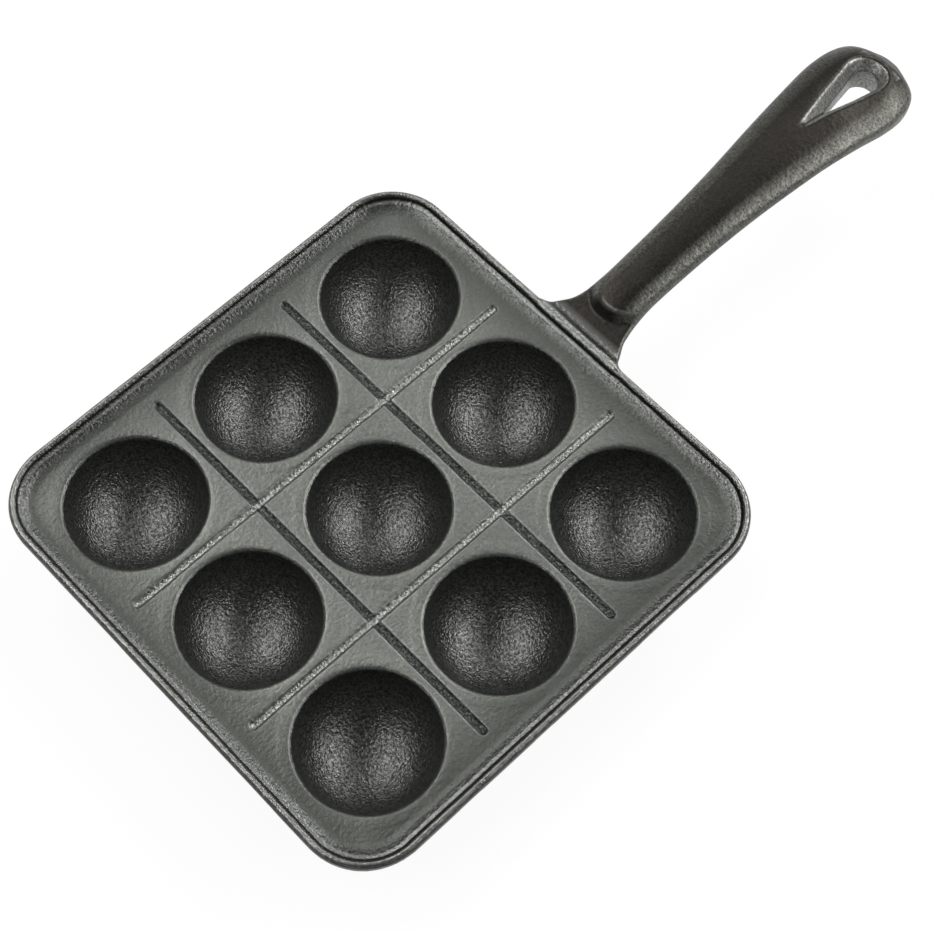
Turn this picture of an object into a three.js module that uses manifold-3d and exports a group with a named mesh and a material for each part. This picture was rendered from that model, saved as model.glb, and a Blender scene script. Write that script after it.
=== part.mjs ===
// Cast-iron takoyaki pan: a square plate with nine hemispherical wells, a stepped rim and an arched handle.
// Millimetres, +Z up, +Y towards the handle. The origin is under the middle well, on the plane the pan stands on.
import * as THREE from "three";
import { mergeVertices } from "three/addons/utils/BufferGeometryUtils.js";
import Module from "manifold-3d";

const wasm = await Module();
wasm.setup();

// Wells: hemispheres sunk in the plate, and the thicker cups around them that the pan stands on
const wellRadius = 19.6;
const wellGap = 7.5;
const mouthRounding = 0.9;
const cupWall = 2.0;
const cupCentreDrop = 2.5;
const cupFootRadius = 3.0;
const rowNames = ["front", "middle", "handle"];
const columnNames = ["left", "centre", "right"];

// Cooking plate: the margin runs from the outer wells to the outer face
const plateThickness = 3.2;
const plateMargin = 10.2;
const panCornerRadius = 19;
const plateEdgeTaper = 4.0;

// Rim: its width and height, and its section from the outer face inwards in shares of these two
const rimWidth = 6.9;
const rimHeight = 3.0;
const rimSectionShares = [
  { inwards: 1, up: 0 },
  { inwards: 0, up: 0 },
  { inwards: 0, up: 0.53 },
  { inwards: 0.05, up: 0.83 },
  { inwards: 0.17, up: 1 },
  { inwards: 0.31, up: 0.78 },
  { inwards: 0.37, up: 0.48 },
  { inwards: 0.52, up: 0.43 },
  { inwards: 0.78, up: 0.13 },
];

// Divider grooves between the wells: they stop short of the outer face by the inset
const grooveInset = 10.2;
const grooveHalfWidth = 1.15;
const grooveDepth = 1.1;

// Handle: its length from the pan's face to the tip, its half width at the widest, how high its underside
// arches above the plate's floor, the height of its side walls, and how far its top is crowned above them
const handleLength = 130.3;
const handleHalfWidth = 15.6;
const handleArch = 6.7;
const handleWall = 4.6;
const handleCrown = 4.7;

// Handle stations, each value a share of the size above. Where the arch is negative, the underside lies
// below the plate's floor: at the neck, and at the tip, which turns down.
const gripStartShare = 0.054;
const eyeStartShare = 0.623;
const stationShares = [
  { along: 0, width: 0.92, arch: -0.18, wall: 0.7, crown: 0.72 },
  { along: 0.023, width: 0.824, arch: -0.22, wall: 0.62, crown: 0.72 },
  { along: gripStartShare, width: 0.666, arch: -0.28, wall: 0.745, crown: 0.72 },
  { along: 0.078, width: 0.6, arch: -0.33, wall: 0.91, crown: 0.72 },
  { along: 0.103, width: 0.556, arch: -0.28, wall: 1.04, crown: 0.715 },
  { along: 0.138, width: 0.525, arch: -0.165, wall: 1.13, crown: 0.7 },
  { along: 0.18, width: 0.522, arch: 0.01, wall: 1.07, crown: 0.69 },
  { along: 0.294, width: 0.556, arch: 0.4, wall: 0.87, crown: 0.725 },
  { along: 0.447, width: 0.628, arch: 0.72, wall: 0.85, crown: 0.78 },
  { along: eyeStartShare, width: 0.786, arch: 1, wall: 0.78, crown: 0.83 },
  { along: 0.753, width: 0.91, arch: 0.81, wall: 1.05, crown: 0.895 },
  { along: 0.845, width: 1, arch: 0.42, wall: 1.32, crown: 0.895 },
  { along: 0.914, width: 0.968, arch: 0.02, wall: 1.71, crown: 1 },
  { along: 0.96, width: 0.795, arch: -0.145, wall: 1.85, crown: 0.77 },
  { along: 0.986, width: 0.46, arch: -0.2, wall: 1.77, crown: 0.375 },
  { along: 1, width: 0.173, arch: -0.22, wall: 1.745, crown: 0.115 },
];

// The grip starts in a raised shoulder: where it starts beyond the pan's face, how long it rises, and how
// far its front bows
const shoulderStart = 7.4;
const shoulderLength = 3.6;
const shoulderBow = 5.5;

// Handle section: shares of the half width across the top, how squarely the top falls to its edges, then
// shares of half width and wall height below the edge
const topShares = [0, 0.3, 0.56, 0.77, 0.92];
const crownPower = 2.5;
const sideShares = [
  { across: 1, up: 1 },
  { across: 0.97, up: 0.28 },
  { across: 0.9, up: 0 },
];

// Hanging hole: a round end towards the tip, drawn out to a point towards the plate. Its walls slope in from
// the top, and below that the hole goes straight through, smaller by the slope all round.
const holeCentreShare = 0.903;
const holeRadius = 6.9;
const holePointShare = 0.695;
const holePointRadius = 0.9;
const holeSlopeWidth = 2.8;
const holeSlopeDepth = 4.0;
const throughPointRadius = 0.4;

// Fineness of the facets
const roundSegments = 36;
const cupRings = 6;
const cornerSegments = 8;
const mouthRings = 3;
const grooveFacets = 4;
const grooveEndSteps = 3;
const ringsPerStation = 3;
const holeSegments = 12;

// What follows from the sizes above. The floor's height is measured from the plane that the cups stand on.
const wellPitch = 2 * wellRadius + wellGap;
const cupOuterRadius = wellRadius + cupWall;
const outerWell = ((rowNames.length - 1) / 2) * wellPitch;
const panHalfSide = outerWell + wellRadius + plateMargin;
const grooveHalfLength = panHalfSide - grooveInset;
const floorHeight = cupCentreDrop + Math.sqrt(cupOuterRadius ** 2 - cupFootRadius ** 2);
const quarterTurn = Math.PI / 2;
const iron = { color: 0x3c3e3a, metalness: 0.6, roughness: 0.6 };

const pan = new THREE.Group();
pan.name = "takoyaki_pan";

// Everything is modelled with the plate's floor at height zero, and stands in this group.
const casting = new THREE.Group();
casting.position.z = floorHeight;
pan.add(casting);

function addPiece(name, geometry, parent = casting) {
  const mesh = new THREE.Mesh(geometry, new THREE.MeshStandardMaterial(iron));
  mesh.name = name;
  parent.add(mesh);
  return mesh;
}

// A closed geometry as a solid that can be joined and cut.
function solidOf(geometry) {
  const flat = geometry.index ? geometry.toNonIndexed() : geometry;
  const bare = new THREE.BufferGeometry();
  bare.setAttribute("position", flat.getAttribute("position"));
  const merged = mergeVertices(bare);
  return new wasm.Manifold(
    new wasm.Mesh({
      numProp: 3,
      vertProperties: merged.attributes.position.array,
      triVerts: new Uint32Array(merged.index.array),
    }),
  );
}

function geometryOf(solid) {
  const mesh = solid.getMesh();
  const geometry = new THREE.BufferGeometry();
  geometry.setAttribute("position", new THREE.BufferAttribute(mesh.vertProperties, mesh.numProp));
  geometry.setIndex(new THREE.BufferAttribute(mesh.triVerts, 1));
  geometry.computeVertexNormals();
  return geometry;
}

// A closed skin over rings of equally many points. The rings turn anticlockwise, seen from the last one.
function loft(rings) {
  const around = rings[0].length;
  const geometry = new THREE.CylinderGeometry(1, 1, 1, around, rings.length - 1);
  const position = geometry.getAttribute("position");
  let vertex = 0;
  for (const ring of [...rings].reverse()) {
    for (let step = 0; step <= around; step++) {
      position.setXYZ(vertex++, ...ring[step % around]);
    }
  }
  for (const ring of [rings[rings.length - 1], rings[0]]) {
    const middle = [0, 1, 2].map((axis) => ring.reduce((sum, point) => sum + point[axis], 0) / around);
    for (let step = 0; step < around; step++) {
      position.setXYZ(vertex++, ...middle);
    }
    for (let step = 0; step <= around; step++) {
      position.setXYZ(vertex++, ...ring[step % around]);
    }
  }
  return geometry;
}

// A rounded square around the middle of the plate, at one height.
function roundedSquare(halfSide, cornerRadius, height) {
  const cornerMiddle = halfSide - cornerRadius;
  const points = [];
  for (let corner = 0; corner < 4; corner++) {
    const turn = corner * quarterTurn;
    const across = cornerMiddle * (Math.cos(turn) - Math.sin(turn));
    const along = cornerMiddle * (Math.cos(turn) + Math.sin(turn));
    for (let step = 0; step <= cornerSegments; step++) {
      const angle = turn + (step / cornerSegments) * quarterTurn;
      points.push([
        across + cornerRadius * Math.cos(angle),
        along + cornerRadius * Math.sin(angle),
        height,
      ]);
    }
  }
  return points;
}

// What a well takes out of the plate: the top of the hemisphere, with a rounded mouth.
function mouthCutter() {
  const beyond = plateThickness;
  const throatRadius = Math.sqrt(wellRadius ** 2 - plateThickness ** 2);
  const mouthRadius = wellRadius + mouthRounding;
  const profile = [
    new THREE.Vector2(0, -plateThickness - beyond),
    new THREE.Vector2(throatRadius, -plateThickness - beyond),
    new THREE.Vector2(throatRadius, -plateThickness),
  ];
  for (let step = 0; step <= mouthRings; step++) {
    const angle = (step / mouthRings) * quarterTurn;
    const radius = mouthRadius - mouthRounding * Math.cos(angle);
    profile.push(new THREE.Vector2(radius, mouthRounding * (Math.sin(angle) - 1)));
  }
  profile.push(new THREE.Vector2(mouthRadius, beyond));
  profile.push(new THREE.Vector2(0, beyond));
  return new THREE.LatheGeometry(profile, roundSegments).rotateX(quarterTurn);
}

// A cup: the hemisphere below the plate, thicker towards the bottom, with a small flat foot.
function wellCup() {
  const insideStart = Math.asin(plateThickness / wellRadius);
  const outsideStart = Math.asin((plateThickness - cupCentreDrop) / cupOuterRadius);
  const outsideEnd = Math.acos(cupFootRadius / cupOuterRadius);
  const profile = [new THREE.Vector2(0, -floorHeight)];
  for (let step = 0; step <= cupRings; step++) {
    const angle = THREE.MathUtils.lerp(outsideEnd, outsideStart, step / cupRings);
    const height = -cupCentreDrop - cupOuterRadius * Math.sin(angle);
    profile.push(new THREE.Vector2(cupOuterRadius * Math.cos(angle), height));
  }
  for (let step = 0; step < cupRings; step++) {
    const angle = THREE.MathUtils.lerp(insideStart, quarterTurn, step / cupRings);
    profile.push(new THREE.Vector2(wellRadius * Math.cos(angle), -wellRadius * Math.sin(angle)));
  }
  profile.push(new THREE.Vector2(0, -wellRadius));
  return new THREE.LatheGeometry(profile, roundSegments).rotateX(quarterTurn);
}

// What a divider groove along Y takes out of the plate: a half round with rounded ends.
function grooveCutter(across) {
  const grooveRing = (along, share) => {
    const halfWidth = grooveHalfWidth * share;
    const points = [];
    for (let step = 0; step <= grooveFacets; step++) {
      const angle = (step / grooveFacets) * Math.PI;
      points.push([across + halfWidth * Math.cos(angle), along, -grooveDepth * share * Math.sin(angle)]);
    }
    points.push([across - halfWidth, along, grooveDepth]);
    points.push([across + halfWidth, along, grooveDepth]);
    return points;
  };
  const start = [];
  const finish = [];
  for (let step = 1; step <= grooveEndSteps; step++) {
    const angle = (step / grooveEndSteps) * quarterTurn;
    const along = grooveHalfLength - grooveHalfWidth * (1 - Math.cos(angle));
    start.push(grooveRing(-along, Math.sin(angle)));
    finish.unshift(grooveRing(along, Math.sin(angle)));
  }
  return loft([...start, ...finish]);
}

// The plate, its edge drawn in below, is divided along the grooves into cells.
let cookingPlate = solidOf(
  loft([
    roundedSquare(panHalfSide - plateEdgeTaper, panCornerRadius - plateEdgeTaper, -plateThickness),
    roundedSquare(panHalfSide, panCornerRadius, 0),
  ]),
);

// The grooves run midway between the wells, both ways.
for (const across of [-wellPitch / 2, wellPitch / 2]) {
  for (const turn of [0, quarterTurn]) {
    cookingPlate = cookingPlate.subtract(solidOf(grooveCutter(across).rotateZ(turn)));
  }
}

// The lines between the cells. The outer ones lie beyond the plate.
function cellBound(index, count) {
  if (index === 0) return -panHalfSide - wellPitch;
  if (index === count) return panHalfSide + wellPitch;
  return (index - count / 2) * wellPitch;
}

rowNames.forEach((rowName, row) => {
  columnNames.forEach((columnName, column) => {
    const across = column * wellPitch - outerWell;
    const along = row * wellPitch - outerWell;
    const left = cellBound(column, columnNames.length);
    const right = cellBound(column + 1, columnNames.length);
    const near = cellBound(row, rowNames.length);
    const far = cellBound(row + 1, rowNames.length);
    const cellBox = new THREE.BoxGeometry(right - left, far - near, 4 * plateThickness);
    cellBox.translate((left + right) / 2, (near + far) / 2, 0);
    const cutter = mouthCutter().translate(across, along, 0);
    const cell = cookingPlate.intersect(solidOf(cellBox)).subtract(solidOf(cutter));
    addPiece("floor_cell_" + rowName + "_" + columnName, geometryOf(cell));
    addPiece("well_cup_" + rowName + "_" + columnName, wellCup()).position.set(across, along, 0);
  });
});

// The rim's section, measured outwards from the middle of the corner rounding.
function rimOutline() {
  return rimSectionShares.map(
    ({ inwards, up }) => new THREE.Vector2(panCornerRadius - rimWidth * inwards, rimHeight * up),
  );
}

function rimSide() {
  const depth = 2 * (panHalfSide - panCornerRadius);
  const side = new THREE.ExtrudeGeometry(new THREE.Shape(rimOutline()), { depth, bevelEnabled: false });
  return side.translate(0, 0, -depth / 2).rotateX(quarterTurn);
}

function rimCorner() {
  const outline = rimOutline();
  const closed = [...outline, outline[0].clone()];
  const ring = new THREE.LatheGeometry(closed, 4 * cornerSegments).rotateX(quarterTurn);
  const boxSide = 2 * panCornerRadius;
  const quarter = new THREE.BoxGeometry(boxSide, boxSide, boxSide).translate(boxSide / 2, boxSide / 2, 0);
  return geometryOf(solidOf(ring).intersect(solidOf(quarter)));
}

// Each side with the corner that follows it, anticlockwise from above
const rimPlaces = [
  { side: "right", corner: "handle_right" },
  { side: "handle", corner: "handle_left" },
  { side: "left", corner: "front_left" },
  { side: "front", corner: "front_right" },
];
rimPlaces.forEach(({ side, corner }, index) => {
  const quarter = new THREE.Group();
  const cornerMiddle = panHalfSide - panCornerRadius;
  quarter.rotation.z = index * quarterTurn;
  casting.add(quarter);
  addPiece("rim_side_" + side, rimSide(), quarter).position.x = cornerMiddle;
  addPiece("rim_corner_" + corner, rimCorner(), quarter).position.set(cornerMiddle, cornerMiddle, 0);
});

// The stations joined by smooth curves, with the rings between them filled in.
function smoothStations() {
  const curve = (second, third) =>
    new THREE.CatmullRomCurve3(
      stationShares.map((station) => new THREE.Vector3(station.along, station[second], station[third])),
    );
  const outline = curve("width", "arch");
  const section = curve("wall", "crown");
  const spans = (stationShares.length - 1) * ringsPerStation;
  const stations = [];
  for (let index = 0; index <= spans; index++) {
    const { x: along, y: width, z: arch } = outline.getPoint(index / spans);
    const { y: wall, z: crown } = section.getPoint(index / spans);
    stations.push({
      beyond: handleLength * along,
      halfWidth: handleHalfWidth * width,
      underside: handleArch * arch,
      wall: handleWall * wall,
      crown: handleCrown * crown,
    });
  }
  return stations;
}

function handleRing({ beyond, halfWidth, underside, wall, crown }) {
  const along = panHalfSide + beyond;
  const top = topShares.map((share) => {
    const front = shoulderStart + shoulderBow * share ** 2;
    const rise = THREE.MathUtils.smoothstep(beyond, front, front + shoulderLength);
    return [halfWidth * share, underside + wall + crown * rise * (1 - share ** crownPower)];
  });
  const side = sideShares.map(({ across, up }) => [halfWidth * across, underside + wall * up]);
  const half = [...top, ...side];
  const right = half.map(([across, height]) => [across, along, height]);
  const left = half.slice(1).map(([across, height]) => [-across, along, height]);
  return [...right, ...left.reverse()];
}

// The handle from one of its stations to another.
function handleSection(from, to) {
  const first = stationShares.findIndex(({ along }) => along === from) * ringsPerStation;
  const last = stationShares.findIndex(({ along }) => along === to) * ringsPerStation;
  return loft(smoothStations().slice(first, last + 1).map(handleRing));
}

addPiece("handle_neck", handleSection(0, gripStartShare));
addPiece("handle_grip", handleSection(gripStartShare, eyeStartShare));

// The height of the handle's crown at one distance from the middle of the plate
function crownHeight(along) {
  const tops = smoothStations().map(({ beyond, underside, wall, crown }) => ({
    at: panHalfSide + beyond,
    top: underside + wall + crown,
  }));
  const next = Math.max(
    tops.findIndex(({ at }) => at >= along),
    1,
  );
  const [before, after] = [tops[next - 1], tops[next]];
  return THREE.MathUtils.mapLinear(along, before.at, after.at, before.top, after.top);
}

// A teardrop around the hole's centre, at a height above or below the handle's crown.
function teardrop(centreRadius, pointRadius, reach, offset) {
  const lean = Math.asin((centreRadius - pointRadius) / reach);
  const centreAlong = panHalfSide + handleLength * holeCentreShare;
  const points = [];
  const arc = (middle, radius, from, to) => {
    for (let step = 0; step <= holeSegments; step++) {
      const angle = THREE.MathUtils.lerp(from, to, step / holeSegments);
      const along = middle + radius * Math.sin(angle);
      points.push([radius * Math.cos(angle), along, crownHeight(along) + offset]);
    }
  };
  arc(centreAlong, centreRadius, -lean, Math.PI + lean);
  arc(centreAlong - reach, pointRadius, Math.PI + lean, 2 * Math.PI - lean);
  return points;
}

function hangingHole() {
  const reach = handleLength * (holeCentreShare - holePointShare);
  const throughRadius = holeRadius - holeSlopeWidth;
  const narrowing = (holeRadius - holePointRadius) / reach;
  const throughReach = (throughRadius - throughPointRadius) / narrowing;
  const past = handleArch + 2 * handleWall + handleCrown;
  return loft([
    teardrop(throughRadius, throughPointRadius, throughReach, -past),
    teardrop(throughRadius, throughPointRadius, throughReach, -holeSlopeDepth),
    teardrop(holeRadius, holePointRadius, reach, 0),
    teardrop(holeRadius, holePointRadius, reach, handleCrown),
  ]);
}

const eyeBlank = solidOf(handleSection(eyeStartShare, 1));
addPiece("handle_eye", geometryOf(eyeBlank.subtract(solidOf(hangingHole()))));

export default pan;
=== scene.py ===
import math

import bpy
import numpy as np
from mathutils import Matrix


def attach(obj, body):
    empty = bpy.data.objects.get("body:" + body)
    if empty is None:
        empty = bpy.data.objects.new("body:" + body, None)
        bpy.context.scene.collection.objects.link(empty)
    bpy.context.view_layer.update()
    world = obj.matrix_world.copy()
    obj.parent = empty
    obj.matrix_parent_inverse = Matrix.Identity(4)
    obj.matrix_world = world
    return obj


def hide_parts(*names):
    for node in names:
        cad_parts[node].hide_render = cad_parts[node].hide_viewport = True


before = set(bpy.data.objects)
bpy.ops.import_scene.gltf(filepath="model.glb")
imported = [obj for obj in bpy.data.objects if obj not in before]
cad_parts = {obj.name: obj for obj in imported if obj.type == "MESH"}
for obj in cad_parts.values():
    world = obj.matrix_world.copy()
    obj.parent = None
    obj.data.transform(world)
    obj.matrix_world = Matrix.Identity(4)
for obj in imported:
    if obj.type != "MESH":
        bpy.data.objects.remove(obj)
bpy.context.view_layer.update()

import openvdb
from mathutils import Matrix, Vector

# Sizes in millimetres, the same as the solids have
MM = 0.001
WELL_RADIUS = 19.6
WELL_PITCH = 46.7
CUP_RADIUS = 21.6
CUP_DROP = 2.5
CUP_FOOT_RADIUS = 3.0
FLOOR_HEIGHT = CUP_DROP + math.sqrt(CUP_RADIUS ** 2 - CUP_FOOT_RADIUS ** 2)
PLATE_THICKNESS = 3.2
HALF_SIDE = 76.5
CORNER_RADIUS = 19.0
EDGE_TAPER = 4.0
RIM_WIDTH = 6.9
RIM_HEIGHT = 3.0
RIM_SHARES = [
    (1, 0), (0.78, 0.13), (0.52, 0.43), (0.37, 0.48), (0.31, 0.78),
    (0.17, 1), (0.05, 0.83), (0, 0.53), (0, 0),
]
GROOVE_HALF_LENGTH = 66.3
GROOVE_HALF_WIDTH = 1.15
GROOVE_DEPTH = 1.1

# Handle: stations in shares of the sizes above them, as along, width, arch, wall, crown
HANDLE_LENGTH = 130.3
HANDLE_HALF_WIDTH = 15.6
HANDLE_ARCH = 6.7
HANDLE_WALL = 4.6
HANDLE_CROWN = 4.7
CROWN_POWER = 2.5
STATION_SHARES = [
    (0, 0.92, -0.18, 0.7, 0.72),
    (0.023, 0.824, -0.22, 0.62, 0.72),
    (0.054, 0.666, -0.28, 0.745, 0.72),
    (0.078, 0.6, -0.33, 0.91, 0.72),
    (0.103, 0.556, -0.28, 1.04, 0.715),
    (0.138, 0.525, -0.165, 1.13, 0.7),
    (0.18, 0.522, 0.01, 1.07, 0.69),
    (0.294, 0.556, 0.4, 0.87, 0.725),
    (0.447, 0.628, 0.72, 0.85, 0.78),
    (0.623, 0.786, 1, 0.78, 0.83),
    (0.753, 0.91, 0.81, 1.05, 0.895),
    (0.845, 1, 0.42, 1.32, 0.895),
    (0.914, 0.968, 0.02, 1.71, 1),
    (0.96, 0.795, -0.145, 1.85, 0.77),
    (0.986, 0.46, -0.2, 1.77, 0.375),
    (1, 0.173, -0.22, 1.745, 0.115),
]
STATION_SPANS = 6
SHOULDER_START = 7.4
SHOULDER_LENGTH = 3.6
SHOULDER_BOW = 5.5
NECK_ROOT = 1.4
SIDE_DRAFT_SHARE = 0.1
HOLE_CENTRE_SHARE = 0.903
HOLE_POINT_SHARE = 0.695
HOLE_CENTRE = HALF_SIDE + HOLE_CENTRE_SHARE * HANDLE_LENGTH
HOLE_POINT = HALF_SIDE + HOLE_POINT_SHARE * HANDLE_LENGTH
HOLE_RADIUS = 6.9
HOLE_POINT_RADIUS = 0.9
HOLE_SLOPE_WIDTH = 2.8
HOLE_SLOPE_DEPTH = 4.0

# Roundings where two surfaces of the casting meet
MOUTH_BLEND = 1.5
CUP_BLEND = 2.6
FOOT_BLEND = 0.6
GROOVE_BLEND = 0.4
NECK_BLEND = 2.4
HANDLE_TOP_BLEND = 1.3
HANDLE_UNDER_BLEND = 1.6
HOLE_BLEND = 1.2

# Slight unevenness of the casting: the heights and wavelengths of a broad swell and of a finer ripple
SWELL_HEIGHT = 0.05
SWELL_LENGTHS = (9.1, 13.0, 8.3, 11.0)
RIPPLE_HEIGHT = 0.03
RIPPLE_LENGTHS = (4.7, 3.9, 4.1)

# The field that the mesh is taken from, in two blocks that meet across the neck
VOXEL = 0.45
BAND = 3 * VOXEL
EDGE_BLUR_PASSES = 2
SECTION_STEP = 0.2
SEAM_REACH = 6.0
SEAM = HALF_SIDE + SEAM_REACH
BLOCK_MARGIN = 2.0
PLATE_BLOCK_TOP = 14.0
HANDLE_BLOCK = {"half_width": 18.0, "low": -4.0, "high": 18.0}
NECK_REACH = 8.0

# Colours of the iron, and of the painted shade and painted highlights on it
PLATE_DARK = (0.090, 0.094, 0.085, 1)
PLATE_LIGHT = (0.142, 0.147, 0.133, 1)
# Painted shade that darkens the floor towards the rim
PLATE_MARGIN_SHADE = (0.043, 0.045, 0.040, 1)
RAW_DARK = (0.033, 0.034, 0.032, 1)
RAW_LIGHT = (0.124, 0.126, 0.118, 1)
HANDLE_DARK = (0.011, 0.010, 0.008, 1)
HANDLE_LIGHT = (0.026, 0.023, 0.019, 1)
# Rubbing and a painted highlight on the handle's sides
STREAK_RUB_AND_HIGHLIGHT_COLOUR = (0.130, 0.130, 0.117, 1)
# Wear on edges, and painted highlights on edges and on the rim's lip and crest
WORN_AND_HIGHLIGHT_COLOUR = (0.21, 0.215, 0.20, 1)
# Painted light on the grooves along the handle and in the funnel of the hole
PAINTED_LIGHT_COLOUR = (0.27, 0.275, 0.255, 1)
# Painted shade in crevices, on the rim's riser and in the grooves across the handle
PAINTED_SHADE_COLOUR = (0.016, 0.016, 0.015, 1)

# Noises: features to a metre, detail and roughness. The last two heights are in metres
GRAIN_NOISE = (1400.0, 2.0, 0.6)
PEEL_NOISE = (800.0, 1.0, 0.5)
EDGE_MARK_NOISE = (300.0, 2.0, 0.5)
GLOSS_NOISE = (160.0, 2.0, 0.5)
PATCH_NOISE = (22.0, 3.0, 0.5)
GRAIN_HEIGHT = 0.00034
PEEL_HEIGHT = 0.00014

# Where a finish, a painted shade or a painted light begins and where it is full, as a height from the
# floor, a distance from the pan's middle, or a way past the plate's edge, a groove's end or an end of the
# hole
RAW_BELOW = (-0.35, -0.9)
RAW_ABOVE = (0.2, 1.1)
IN_GROOVE = (-0.15, -0.5)
OVER_UNDERSIDE = (-2.2, -1.8)
# DARK_MARGIN spans the painted shade towards the rim
DARK_MARGIN = (54.0, 69.0)
HANDLE_FINISH = (1.0, 5.0)
GROOVE_END = (2.0, 1.0)
HOLE_START = (0.0, 1.0)
HOLE_END = (0.6, 0.2)

# Bands of painted shade and painted light around a height above the floor or around a line: how far off
# they end and how far off they are full
# The riser band is painted shade, and the lip and crest bands are painted highlights
RISER_HEIGHT = 1.9
RISER_BAND = (0.55, 0.25)
LIP_HEIGHT = 1.35
LIP_BAND = (0.22, 0.1)
CREST_BAND = (0.5, 0.2)
DARK_GROOVE_BAND = (1.6, 1.2)
LIGHT_GROOVE_BAND = (0.9, 0.5)
HOLE_BAND = (7.4, 7.0)

# Bends of the surface, as one over a radius in millimetres, and slopes, as a share of the normal
EDGE_BEND = (0.5, 1.5)
HOLLOW_BEND = (-0.5, -1.5)
SIDE_SLOPE = (0.28, 0.55)
FUNNEL_SLOPE = (0.93, 0.85)

# The part of each noise that counts, and the shares of a finish, a painted shade or a painted light at its
# low and at its high end
SPECKLE_SPAN = (0.40, 0.61)
PATCH_SPAN = (0.35, 0.68)
PATCH_SHARE = 0.5
STREAK_SPAN = (0.30, 0.66)
STREAK_SHARES = (0.2, 1.0)
EDGE_MARK_SPAN = (0.35, 0.65)
EDGE_MARK_SHARES = (0.1, 0.8)
GLOSS_SPAN = (0.3, 0.7)
ROUGHNESS_SHARES = (0.42, 0.50)
RAW_GLOSS_SHARE = 0.15
METAL_SHARE = 0.85
MARGIN_SHARES = (0.0, 0.8)
RAW_SPECKLE_SHARES = (0.1, 1.0)
RIM_SPECKLE_SHARE = 0.5
LIP_HIGHLIGHT_SHARE = 0.45
HOLLOW_SHARES = (0.0, 0.85)
RISER_SHARE = 0.9
DARK_GROOVE_SHARES = (0.95, 0.4)
LIGHT_GROOVE_SHARES = (0.3, 0.9)
RIM_RELIEF_SHARE = 0.6
RAW_RELIEF_SHARE = 0.62
SMOOTH_RELIEF_SHARE = 0.38

# Camera: its place in metres, and degrees round from the front, above the plate, and of roll
CAMERA_PLACE = (0.19237, -0.14587, 0.54126)
CAMERA_AZIMUTH = 47.2
CAMERA_ELEVATION = 64.0
CAMERA_ROLL = -0.78
CAMERA_LENS = 81.4
CAMERA_SENSOR = 36.0

# Soft boxes in metres: direction, direction of the long side, distance, width, length, radiance
LIGHT_TARGET = (0, 0.03, 0.02)
SOFT_BOXES = {
    "light_right": ((0.27, 0.74, 0.61), (-0.80, 0.60, 0.12), 1.2, 0.26, 2.0, 15.0),
    "light_left": ((-0.50, -0.27, 0.82), (-0.69, 0.72, 0.12), 1.2, 0.26, 1.9, 10.8),
    "light_above": ((-0.42, 0.36, 0.83), (0.68, 0.73, 0), 1.4, 0.7, 0.7, 1.9),
}
DIM_SURROUNDING = (0.15, 0.15, 0.15, 1)
WHITE = (1, 1, 1, 1)
FLOOR_HALF_SIZE = 3.0
FLOOR_COLOUR = (0.8, 0.8, 0.8, 1)
FLOOR_GLOW_SHARE = 0.92


def add_camera():
    data = bpy.data.cameras.new("camera")
    data.sensor_width = CAMERA_SENSOR
    data.lens = CAMERA_LENS
    camera = bpy.data.objects.new("camera", data)
    bpy.context.scene.collection.objects.link(camera)
    azimuth, elevation, roll = (math.radians(v) for v in (CAMERA_AZIMUTH, CAMERA_ELEVATION, CAMERA_ROLL))
    back = Vector((
        math.sin(azimuth) * math.cos(elevation),
        -math.cos(azimuth) * math.cos(elevation),
        math.sin(elevation),
    ))
    right = Vector((math.cos(azimuth), math.sin(azimuth), 0))
    right = Matrix.Rotation(roll, 3, back) @ right
    up = back.cross(right)
    turn = Matrix((right, up, back)).transposed().to_4x4()
    camera.matrix_world = Matrix.Translation(CAMERA_PLACE) @ turn
    bpy.context.scene.camera = camera


add_camera()


def smooth_min(a, b, blend):
    share = np.clip(0.5 + 0.5 * (b - a) / blend, 0, 1)
    return b + (a - b) * share - blend * share * (1 - share)


def smooth_max(a, b, blend):
    return -smooth_min(-a, -b, blend)


def smooth_step(value, low, high):
    share = np.clip((value - low) / (high - low), 0, 1)
    return share * share * (3 - 2 * share)


# Signed distance in the plane from a closed polygon, negative inside.
def polygon_distance(x, y, corners):
    nearest = np.full(x.shape, 1e9)
    inside = np.zeros(x.shape, bool)
    for (ax, ay), (bx, by) in zip(corners, np.roll(corners, -1, axis=0)):
        ex, ey = bx - ax, by - ay
        px, py = x - ax, y - ay
        share = np.clip((px * ex + py * ey) / max(ex * ex + ey * ey, 1e-12), 0, 1)
        nearest = np.minimum(nearest, (px - ex * share) ** 2 + (py - ey * share) ** 2)
        if ay != by:
            crosses = ((ay > y) != (by > y)) & (x < (bx - ax) * (y - ay) / (by - ay) + ax)
            inside ^= crosses
    return np.where(inside, -1, 1) * np.sqrt(nearest)


# A smooth curve through points, as many samples to a span as asked for.
def smooth_curve(points, samples):
    points = np.array(points, float)
    ends = np.vstack([2 * points[0] - points[1], points, 2 * points[-1] - points[-2]])
    out = []
    for p0, p1, p2, p3 in zip(ends, ends[1:], ends[2:], ends[3:]):
        for t in np.arange(samples) / samples:
            out.append(0.5 * (2 * p1 + (p2 - p0) * t + (2 * p0 - 5 * p1 + 4 * p2 - p3) * t ** 2
                              + (3 * p1 - p0 - 3 * p2 + p3) * t ** 3))
    return np.array(out + [points[-1]])


STATIONS = smooth_curve(
    [
        (
            HALF_SIDE + along * HANDLE_LENGTH,
            width * HANDLE_HALF_WIDTH,
            arch * HANDLE_ARCH,
            wall * HANDLE_WALL,
            crown * HANDLE_CROWN,
        )
        for along, width, arch, wall, crown in STATION_SHARES
    ],
    STATION_SPANS,
)


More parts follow.
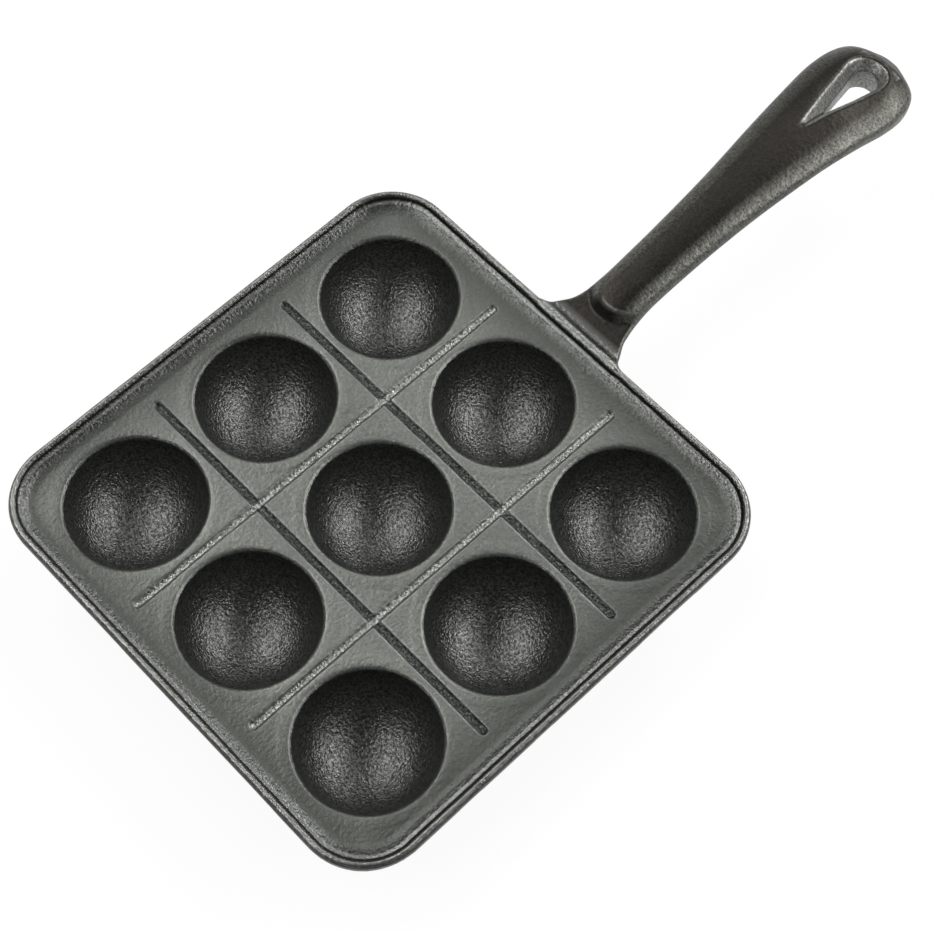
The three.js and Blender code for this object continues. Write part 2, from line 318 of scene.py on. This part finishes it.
# The plate with its rim, from a section that follows the outer edge.
def plate_distance(x, y, levels):
    core = HALF_SIDE - CORNER_RADIUS
    qx, qy = np.abs(x) - core, np.abs(y) - core
    outside = np.hypot(np.maximum(qx, 0), np.maximum(qy, 0))
    inwards = -(outside + np.minimum(np.maximum(qx, qy), 0) - CORNER_RADIUS)
    middle = 3 * CORNER_RADIUS
    section = [(middle, 0)] + [(RIM_WIDTH * share, RIM_HEIGHT * up) for share, up in RIM_SHARES]
    section += [(EDGE_TAPER, -PLATE_THICKNESS), (middle, -PLATE_THICKNESS)]
    steps = np.arange(-2 * CORNER_RADIUS, 2 * CORNER_RADIUS, SECTION_STEP)
    table_x, table_z = np.meshgrid(steps, levels, indexing="ij")
    table = polygon_distance(table_x, table_z, np.array(section, float))
    return np.stack([np.interp(inwards, steps, table[:, k]) for k in range(len(levels))], axis=2)


def wells_and_cups(body, x, y, z):
    dx = x - WELL_PITCH * np.clip(np.round(x / WELL_PITCH), -1, 1)
    dy = y - WELL_PITCH * np.clip(np.round(y / WELL_PITCH), -1, 1)
    flat = dx ** 2 + dy ** 2
    cup = np.sqrt(flat + (z + CUP_DROP) ** 2) - CUP_RADIUS
    cup = smooth_max(cup, -(z + FLOOR_HEIGHT), FOOT_BLEND)
    cup = np.maximum(cup, z + PLATE_THICKNESS / 2)
    body = smooth_min(body, cup, CUP_BLEND)
    return smooth_max(body, WELL_RADIUS - np.sqrt(flat + z ** 2), MOUTH_BLEND)


# The divider grooves: long capsules that are taken out of the floor.
def groove_distance(x, y, z):
    radius = (GROOVE_HALF_WIDTH ** 2 + GROOVE_DEPTH ** 2) / (2 * GROOVE_DEPTH)
    middle = radius - GROOVE_DEPTH
    straight = GROOVE_HALF_LENGTH - GROOVE_HALF_WIDTH
    out = None
    for across, along in ((x, y), (y, x)):
        off = np.abs(across) - WELL_PITCH / 2
        past = np.maximum(np.abs(along) - straight, 0)
        one = np.sqrt(off ** 2 + past ** 2 + (z - middle) ** 2) - radius
        out = one if out is None else np.minimum(out, one)
    return out


def handle_distance(x, y, z):
    flat_x, flat_y = x[:, :, 0], y[:, :, 0]
    right = [(STATIONS[0, 1], HALF_SIDE - NECK_ROOT)] + [(w, a) for a, w in STATIONS[:, :2]]
    outline = np.array(right + [(-w, a) for w, a in right[::-1]], float)
    plan = polygon_distance(flat_x, flat_y, outline)[:, :, None]
    width, arch, wall, crown = (
        np.interp(flat_y, STATIONS[:, 0], STATIONS[:, n])[:, :, None] for n in (1, 2, 3, 4)
    )
    share = np.clip(np.abs(x) / width, 0, 1)
    front = HALF_SIDE + SHOULDER_START + SHOULDER_BOW * share ** 2
    rise = smooth_step(y, front, front + SHOULDER_LENGTH)
    top = arch + wall + crown * rise * (1 - share ** CROWN_POWER)
    low = np.clip((z - arch) / wall, 0, 1)
    side = plan + SIDE_DRAFT_SHARE * width * (1 - low) ** 3
    body = smooth_max(side, z - top, HANDLE_TOP_BLEND)
    body = smooth_max(body, arch - z, HANDLE_UNDER_BLEND)
    reach = HOLE_CENTRE - HOLE_POINT
    lean = (HOLE_RADIUS - HOLE_POINT_RADIUS) / reach
    up = math.sqrt(1 - lean ** 2)
    hx, hy = np.abs(flat_x), HOLE_CENTRE - flat_y
    reading = -lean * hx + up * hy
    past_point = np.hypot(hx, hy - reach) - HOLE_POINT_RADIUS
    hole = np.where(
        reading < 0,
        np.hypot(hx, hy) - HOLE_RADIUS,
        np.where(reading > up * reach, past_point, up * hx + lean * hy - HOLE_RADIUS),
    )[:, :, None]
    depth = np.clip((arch + wall + crown - z) / HOLE_SLOPE_DEPTH, 0, 1)
    return smooth_max(body, -(hole + HOLE_SLOPE_WIDTH * depth), HOLE_BLEND)


# The waves start at odd angles, in radians, so that no two wells come out alike.
def unevenness(x, y, z):
    across, along_bend, along, across_bend = SWELL_LENGTHS
    swell = np.sin(x / across + 1.3 + 0.7 * np.sin(y / along_bend))
    swell = swell * np.sin(y / along + 0.4 + 0.6 * np.sin(x / across_bend))
    across, upwards, along = RIPPLE_LENGTHS
    return SWELL_HEIGHT * swell + RIPPLE_HEIGHT * np.sin(x / across + z / upwards) * np.sin(y / along + 2.1)


def grid_block(low, high):
    first = [math.floor(v / VOXEL) for v in low]
    last = [math.ceil(v / VOXEL) for v in high]
    axes = [np.arange(a, b + 1) * VOXEL for a, b in zip(first, last)]
    x, y, z = (axes[0][:, None, None], axes[1][None, :, None], axes[2][None, None, :])
    shape = tuple(len(a) for a in axes)
    return first, axes, np.broadcast_to(x, shape), np.broadcast_to(y, shape), np.broadcast_to(z, shape)


# How sharply a surface bends, as one over the radius in millimetres: above zero on outer edges, below it in
# crevices. It is read from the difference between the field and its average over the neighbours.
def bend_of(body):
    field = body
    for axis in range(3):
        for _ in range(EDGE_BLUR_PASSES):
            ends = [(1, 1) if n == axis else (0, 0) for n in range(3)]
            padded = np.moveaxis(np.pad(field, ends, mode="edge"), axis, 0)
            field = np.moveaxis((padded[:-2] + 2 * padded[1:-1] + padded[2:]) / 4, 0, axis)
    return (field - body) * 4 / (EDGE_BLUR_PASSES * VOXEL ** 2)


# The value of a field at points given in voxels from its corner.
def field_at(field, points):
    base = np.clip(np.floor(points).astype(int), 0, np.array(field.shape) - 2)
    share = np.clip(points - base, 0, 1)
    out = np.zeros(len(points))
    for corner in np.ndindex(2, 2, 2):
        weight = np.prod(np.where(corner, share, 1 - share), axis=1)
        out += weight * field[tuple((base + corner).T)]
    return out


def casting_mesh():
    grid = openvdb.FloatGrid(BAND)
    bends = []
    edge = HALF_SIDE + BLOCK_MARGIN
    plate_block = ((-edge, -edge, -FLOOR_HEIGHT - BLOCK_MARGIN), (edge, SEAM, PLATE_BLOCK_TOP))
    handle_block = (
        (-HANDLE_BLOCK["half_width"], SEAM + VOXEL, HANDLE_BLOCK["low"]),
        (HANDLE_BLOCK["half_width"], HALF_SIDE + HANDLE_LENGTH + BLOCK_MARGIN, HANDLE_BLOCK["high"]),
    )
    for low, high in (plate_block, handle_block):
        first, axes, x, y, z = grid_block(low, high)
        if axes[1][0] < 0:
            body = plate_distance(x[:, :, 0], y[:, :, 0], axes[2])
            body = wells_and_cups(body, x, y, z)
            body = smooth_max(body, -groove_distance(x, y, z), GROOVE_BLEND)
            near = axes[1] > HALF_SIDE - NECK_REACH
            hx, hy, hz = x[:, near], y[:, near], z[:, near]
            body[:, near] = smooth_min(body[:, near], handle_distance(hx, hy, hz), NECK_BLEND)
        else:
            body = handle_distance(x, y, z)
        body = (body + unevenness(x, y, z)).astype(np.float32)
        bends.append((first, bend_of(body)))
        grid.copyFromArray(np.clip(body, -BAND, BAND), ijk=tuple(first))
    points, quads = grid.convertToQuads(0.0)
    points = np.array(points, float)
    on_plate = points[:, 1] * VOXEL <= SEAM
    bend = np.where(on_plate, *(field_at(field, points - first) for first, field in bends))
    points = points * VOXEL
    points[:, 2] += FLOOR_HEIGHT
    return points * MM, np.array(quads)[:, ::-1], bend


# The whole pan as one seamless piece, with the bend of its surface kept at each point.
def add_casting():
    points, quads, bend = casting_mesh()
    mesh = bpy.data.meshes.new("casting")
    mesh.from_pydata(points.tolist(), [], quads.tolist())
    mesh.attributes.new("bend", "FLOAT", "POINT").data.foreach_set("value", bend.astype(np.float32))
    mesh.update()
    mesh.shade_smooth()
    casting = bpy.data.objects.new("casting", mesh)
    bpy.context.scene.collection.objects.link(casting)
    return casting


# Adds a material's nodes one by one. Each call gives back the socket with its result.
class Painter:
    def __init__(self, material):
        material.use_nodes = True
        self.nodes, self.links = material.node_tree.nodes, material.node_tree.links
        self.shader = self.nodes["Principled BSDF"]
        place = self.nodes.new("ShaderNodeTexCoord")
        self.place = place.outputs["Object"]
        self.normal = place.outputs["Normal"]

    def axes(self, vector):
        node = self.nodes.new("ShaderNodeSeparateXYZ")
        self.links.new(vector, node.inputs[0])
        return node.outputs

    def attribute(self, name):
        node = self.nodes.new("ShaderNodeAttribute")
        node.attribute_name = name
        return node.outputs["Fac"]

    def noise(self, kind):
        node = self.nodes.new("ShaderNodeTexNoise")
        for name, value in zip(("Scale", "Detail", "Roughness"), kind):
            node.inputs[name].default_value = value
        self.links.new(self.place, node.inputs["Vector"])
        return node.outputs["Fac"]

    # From one span of values to another, and no further than its ends.
    def spread(self, source, span, to=(0.0, 1.0)):
        node = self.nodes.new("ShaderNodeMapRange")
        for name, value in zip(("From Min", "From Max", "To Min", "To Max"), (*span, *to)):
            node.inputs[name].default_value = value
        self.links.new(source, node.inputs["Value"])
        return node.outputs["Result"]

    # The same for a place in millimetres, with a span that is counted from another place.
    def within(self, source, start, span, to=(0.0, 1.0)):
        return self.spread(source, [(start + value) * MM for value in span], to)

    # A band on both sides of a height or a line.
    def near(self, source, value, band):
        return self.within(self.absolute(self.combine("SUBTRACT", source, value * MM)), 0.0, band)

    def combine(self, operation, first, second):
        node = self.nodes.new("ShaderNodeMath")
        node.operation = operation
        for socket, value in zip(node.inputs, (first, second)):
            if isinstance(value, (int, float)):
                socket.default_value = value
            else:
                self.links.new(value, socket)
        return node.outputs[0]

    def times(self, first, second):
        return self.combine("MULTIPLY", first, second)

    def absolute(self, source):
        return self.combine("ABSOLUTE", source, 0.0)

    def tint(self, factor, first, second):
        node = self.nodes.new("ShaderNodeMix")
        node.data_type = "RGBA"
        self.links.new(factor, node.inputs["Factor"])
        for socket, value in ((node.inputs[6], first), (node.inputs[7], second)):
            if isinstance(value, tuple):
                socket.default_value = value
            else:
                self.links.new(value, socket)
        return node.outputs[2]

    def bump(self, source, height, under=None):
        node = self.nodes.new("ShaderNodeBump")
        node.inputs["Strength"].default_value = 1.0
        node.inputs["Distance"].default_value = height
        self.links.new(source, node.inputs["Height"])
        if under:
            self.links.new(under, node.inputs["Normal"])
        return node.outputs["Normal"]


# The grain, a speckle made of it, and the speckle mixed with broad patches.
def iron_grain(paint):
    grain = paint.noise(GRAIN_NOISE)
    speckle = paint.spread(grain, SPECKLE_SPAN)
    patches = paint.spread(paint.noise(PATCH_NOISE), PATCH_SPAN)
    mixed = paint.combine("ADD", paint.times(patches, PATCH_SHARE), paint.times(speckle, 1 - PATCH_SHARE))
    return grain, speckle, mixed


# The polished floor, with painted shade darkening it towards the rim, and raw iron in the wells, on the rim
# and under the plate.
def plate_colour(paint, raw, above, speckle, mixed):
    across, along, _ = paint.axes(paint.place)
    furthest = paint.combine("MAXIMUM", paint.absolute(across), paint.absolute(along))
    # Painted shade: the floor darkens towards the rim.
    margin_shade = paint.within(furthest, 0.0, DARK_MARGIN, MARGIN_SHARES)
    plate = paint.tint(margin_shade, paint.tint(mixed, PLATE_DARK, PLATE_LIGHT), PLATE_MARGIN_SHADE)
    calmer = paint.combine("SUBTRACT", 1.0, paint.times(above, RIM_SPECKLE_SHARE))
    raw_speckle = paint.spread(paint.times(speckle, calmer), (0.0, 1.0), RAW_SPECKLE_SHARES)
    return paint.tint(raw, plate, paint.tint(raw_speckle, RAW_DARK, RAW_LIGHT))


# Brown-black seasoning with sides lightened by rubbing and by a painted highlight, and painted light on the
# grainy iron in the funnel of the hole.
def handle_colour(paint, grain, speckle, mixed):
    across, along, _ = paint.axes(paint.place)
    sideways, _, upwards = paint.axes(paint.normal)
    # Rubbing and painted highlight: faces turned sideways get a lighter streak, broken up by the grain.
    sides = paint.spread(paint.absolute(sideways), SIDE_SLOPE)
    rubbed_and_highlit = paint.times(sides, paint.spread(grain, STREAK_SPAN, STREAK_SHARES))
    handle = paint.tint(rubbed_and_highlit, paint.tint(mixed, HANDLE_DARK, HANDLE_LIGHT), STREAK_RUB_AND_HIGHLIGHT_COLOUR)
    # Painted light: the sloping walls of the hole's funnel are lightened.
    lit_funnel = paint.times(paint.near(across, 0.0, HOLE_BAND), paint.within(along, HOLE_POINT, HOLE_START))
    lit_funnel = paint.times(lit_funnel, paint.spread(paint.absolute(upwards), FUNNEL_SLOPE))
    lit_funnel = paint.times(lit_funnel, paint.within(along, HOLE_CENTRE + HOLE_RADIUS, HOLE_END))
    return paint.tint(lit_funnel, handle, paint.tint(speckle, RAW_LIGHT, PAINTED_LIGHT_COLOUR))


# Outer edges are lightened as wear and as a painted highlight, the rim's lip and crest get painted
# highlights, and crevices and the rim's riser get painted shade.
def wear_colour(paint, colour, off_handle):
    _, _, height = paint.axes(paint.place)
    bend = paint.attribute("bend")
    uneven = paint.spread(paint.noise(EDGE_MARK_NOISE), EDGE_MARK_SPAN, EDGE_MARK_SHARES)
    # Wear and painted highlight: sharply bent outer edges are lightened, broken up by noise.
    worn_and_highlit = paint.times(paint.spread(bend, EDGE_BEND), uneven)
    colour = paint.tint(worn_and_highlit, colour, WORN_AND_HIGHLIGHT_COLOUR)
    # Painted highlights along the rim's lip and crest.
    lip = paint.near(height, FLOOR_HEIGHT + LIP_HEIGHT, LIP_BAND)
    crest = paint.near(height, FLOOR_HEIGHT + RIM_HEIGHT, CREST_BAND)
    lip_highlights = paint.times(paint.combine("ADD", lip, crest), off_handle)
    colour = paint.tint(paint.times(lip_highlights, LIP_HIGHLIGHT_SHARE), colour, WORN_AND_HIGHLIGHT_COLOUR)
    # Painted shade in crevices and on the rim's riser.
    hollow = paint.spread(bend, HOLLOW_BEND, HOLLOW_SHARES)
    riser = paint.times(paint.near(height, FLOOR_HEIGHT + RISER_HEIGHT, RISER_BAND), off_handle)
    painted_shade = paint.combine("MAXIMUM", hollow, paint.times(riser, RISER_SHARE))
    return paint.tint(painted_shade, colour, PAINTED_SHADE_COLOUR)


# The grooves across the handle's direction get painted shade, and those along it get painted light.
def groove_colour(paint, colour, speckle):
    across, along, height = paint.axes(paint.place)
    furthest = paint.combine("MAXIMUM", paint.absolute(across), paint.absolute(along))
    in_groove = paint.within(height, FLOOR_HEIGHT, IN_GROOVE)
    in_groove = paint.times(in_groove, paint.within(height, FLOOR_HEIGHT, OVER_UNDERSIDE))
    in_groove = paint.times(in_groove, paint.within(furthest, GROOVE_HALF_LENGTH, GROOVE_END))
    # Painted shade in the grooves across the handle.
    shaded_grooves = paint.times(in_groove, paint.near(paint.absolute(along), WELL_PITCH / 2, DARK_GROOVE_BAND))
    shaded_grooves = paint.times(shaded_grooves, paint.spread(speckle, (0.0, 1.0), DARK_GROOVE_SHARES))
    colour = paint.tint(shaded_grooves, colour, PAINTED_SHADE_COLOUR)
    # Painted light in the grooves along the handle.
    light = paint.times(in_groove, paint.near(paint.absolute(across), WELL_PITCH / 2, LIGHT_GROOVE_BAND))
    light = paint.times(light, paint.spread(speckle, (0.0, 1.0), LIGHT_GROOVE_SHARES))
    return paint.tint(light, colour, PAINTED_LIGHT_COLOUR)


# Cast iron: a grey-green plate with the sand's grain cast into it, coarser in the wells, and a smoother
# handle seasoned brown-black.
def iron_material():
    material = bpy.data.materials.new("seasoned_iron")
    paint = Painter(material)
    _, along, height = paint.axes(paint.place)
    on_handle = paint.within(along, HALF_SIDE, HANDLE_FINISH)
    off_handle = paint.combine("SUBTRACT", 1.0, on_handle)
    below = paint.within(height, FLOOR_HEIGHT, RAW_BELOW)
    above = paint.within(height, FLOOR_HEIGHT, RAW_ABOVE)
    raw = paint.times(paint.combine("ADD", below, above), off_handle)
    grain, speckle, mixed = iron_grain(paint)

    colour = plate_colour(paint, raw, above, speckle, mixed)
    colour = paint.tint(on_handle, colour, handle_colour(paint, grain, speckle, mixed))
    colour = wear_colour(paint, colour, off_handle)
    colour = groove_colour(paint, colour, speckle)
    paint.links.new(colour, paint.shader.inputs["Base Color"])

    paint.shader.inputs["Metallic"].default_value = METAL_SHARE
    roughness = paint.spread(paint.noise(GLOSS_NOISE), GLOSS_SPAN, ROUGHNESS_SHARES)
    roughness = paint.combine("SUBTRACT", roughness, paint.times(raw, RAW_GLOSS_SHARE))
    paint.links.new(roughness, paint.shader.inputs["Roughness"])

    coarser = paint.combine("SUBTRACT", raw, paint.times(above, RIM_RELIEF_SHARE))
    coarser = paint.combine("ADD", paint.times(coarser, RAW_RELIEF_SHARE), SMOOTH_RELIEF_SHARE)
    peel = paint.bump(paint.noise(PEEL_NOISE), PEEL_HEIGHT)
    relief = paint.bump(paint.times(grain, coarser), GRAIN_HEIGHT, peel)
    paint.links.new(relief, paint.shader.inputs["Normal"])
    return material


casting = add_casting()
casting.data.materials.append(iron_material())
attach(casting, "root")
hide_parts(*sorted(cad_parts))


# A pale floor that the camera sees nearly white, with the pan's soft shadow on it.
def add_floor():
    mesh = bpy.data.meshes.new("floor")
    far = FLOOR_HALF_SIZE
    corners = [(-far, -far, 0), (far, -far, 0), (far, far, 0), (-far, far, 0)]
    mesh.from_pydata(corners, [], [(0, 1, 2, 3)])
    floor = bpy.data.objects.new("floor", mesh)
    bpy.context.scene.collection.objects.link(floor)
    material = bpy.data.materials.new("floor")
    material.use_nodes = True
    nodes, links = material.node_tree.nodes, material.node_tree.links
    nodes.clear()
    output = nodes.new("ShaderNodeOutputMaterial")
    diffuse = nodes.new("ShaderNodeBsdfDiffuse")
    diffuse.inputs["Color"].default_value = FLOOR_COLOUR
    glow = nodes.new("ShaderNodeEmission")
    mix = nodes.new("ShaderNodeMixShader")
    path = nodes.new("ShaderNodeLightPath")
    scale = nodes.new("ShaderNodeMath")
    scale.operation = "MULTIPLY"
    scale.inputs[1].default_value = FLOOR_GLOW_SHARE
    links.new(path.outputs["Is Camera Ray"], scale.inputs[0])
    links.new(scale.outputs[0], mix.inputs["Fac"])
    links.new(diffuse.outputs[0], mix.inputs[1])
    links.new(glow.outputs[0], mix.inputs[2])
    links.new(mix.outputs[0], output.inputs["Surface"])
    floor.data.materials.append(material)


add_floor()


# A soft box seen from the pan in a direction, with its long side turned towards another.
def add_area(name, direction, long_side, distance, width, length, radiance):
    data = bpy.data.lights.new(name, "AREA")
    data.shape = "RECTANGLE"
    data.size, data.size_y = width, length
    data.energy = radiance * math.pi * width * length
    light = bpy.data.objects.new(name, data)
    bpy.context.scene.collection.objects.link(light)
    toward = Vector(direction).normalized()
    across = Vector(long_side).cross(toward).normalized()
    turn = Matrix((across, toward.cross(across), toward)).transposed().to_4x4()
    light.matrix_world = Matrix.Translation(toward * distance + Vector(LIGHT_TARGET)) @ turn


for name, settings in SOFT_BOXES.items():
    add_area(name, *settings)


# A dim surrounding that lights the pan, seen as white by the camera.
def add_world():
    world = bpy.data.worlds.new("world")
    bpy.context.scene.world = world
    world.use_nodes = True
    nodes, links = world.node_tree.nodes, world.node_tree.links
    dim = nodes["Background"]
    dim.inputs["Color"].default_value = DIM_SURROUNDING
    white = nodes.new("ShaderNodeBackground")
    white.inputs["Color"].default_value = WHITE
    path = nodes.new("ShaderNodeLightPath")
    mix = nodes.new("ShaderNodeMixShader")
    links.new(path.outputs["Is Camera Ray"], mix.inputs["Fac"])
    links.new(dim.outputs[0], mix.inputs[1])
    links.new(white.outputs[0], mix.inputs[2])
    links.new(mix.outputs[0], nodes["World Output"].inputs["Surface"])


add_world()

bpy.context.scene.view_settings.view_transform = "Standard"
